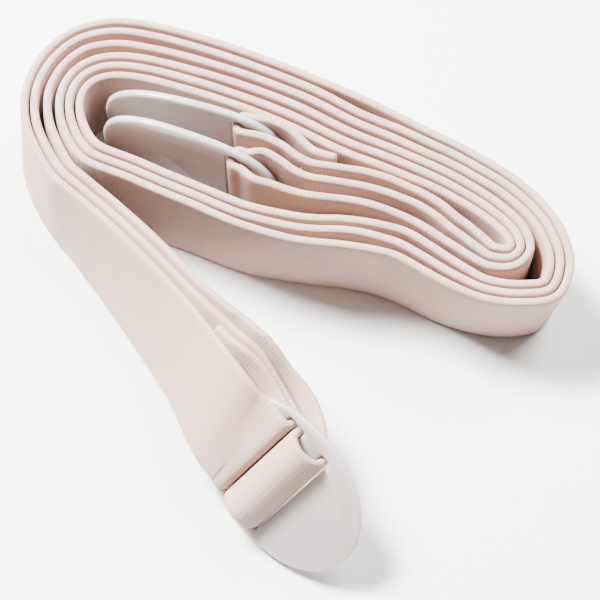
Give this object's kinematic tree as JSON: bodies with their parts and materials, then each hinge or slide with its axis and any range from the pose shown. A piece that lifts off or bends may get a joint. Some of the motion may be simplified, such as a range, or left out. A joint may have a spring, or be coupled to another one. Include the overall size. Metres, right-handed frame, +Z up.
{
  "type": "ostomy belt",
  "caption": "Elastic ostomy belt, coiled up and standing on its edge: knitted strap with a slotted slider plate and slotted hook tabs for a pouch.",
  "frame": {"origin": "middle of the belt's footprint, on the surface that it stands on", "axes": "+X along the coil from its rounded left end to its pointed right end, +Y from the camera's side to the far side, +Z up, across the strap"},
  "size_m": [0.1404, 0.1156, 0.032],
  "materials": {
    "elastic": "knitted",
    "plastic": "satin, slightly translucent"
  },
  "bodies": {
    "root": {"elastic_strap": "elastic", "slider_plate": "plastic", "hook_tab_front": "plastic", "hook_tab_rear": "plastic"}
  },
  "joints": []
}
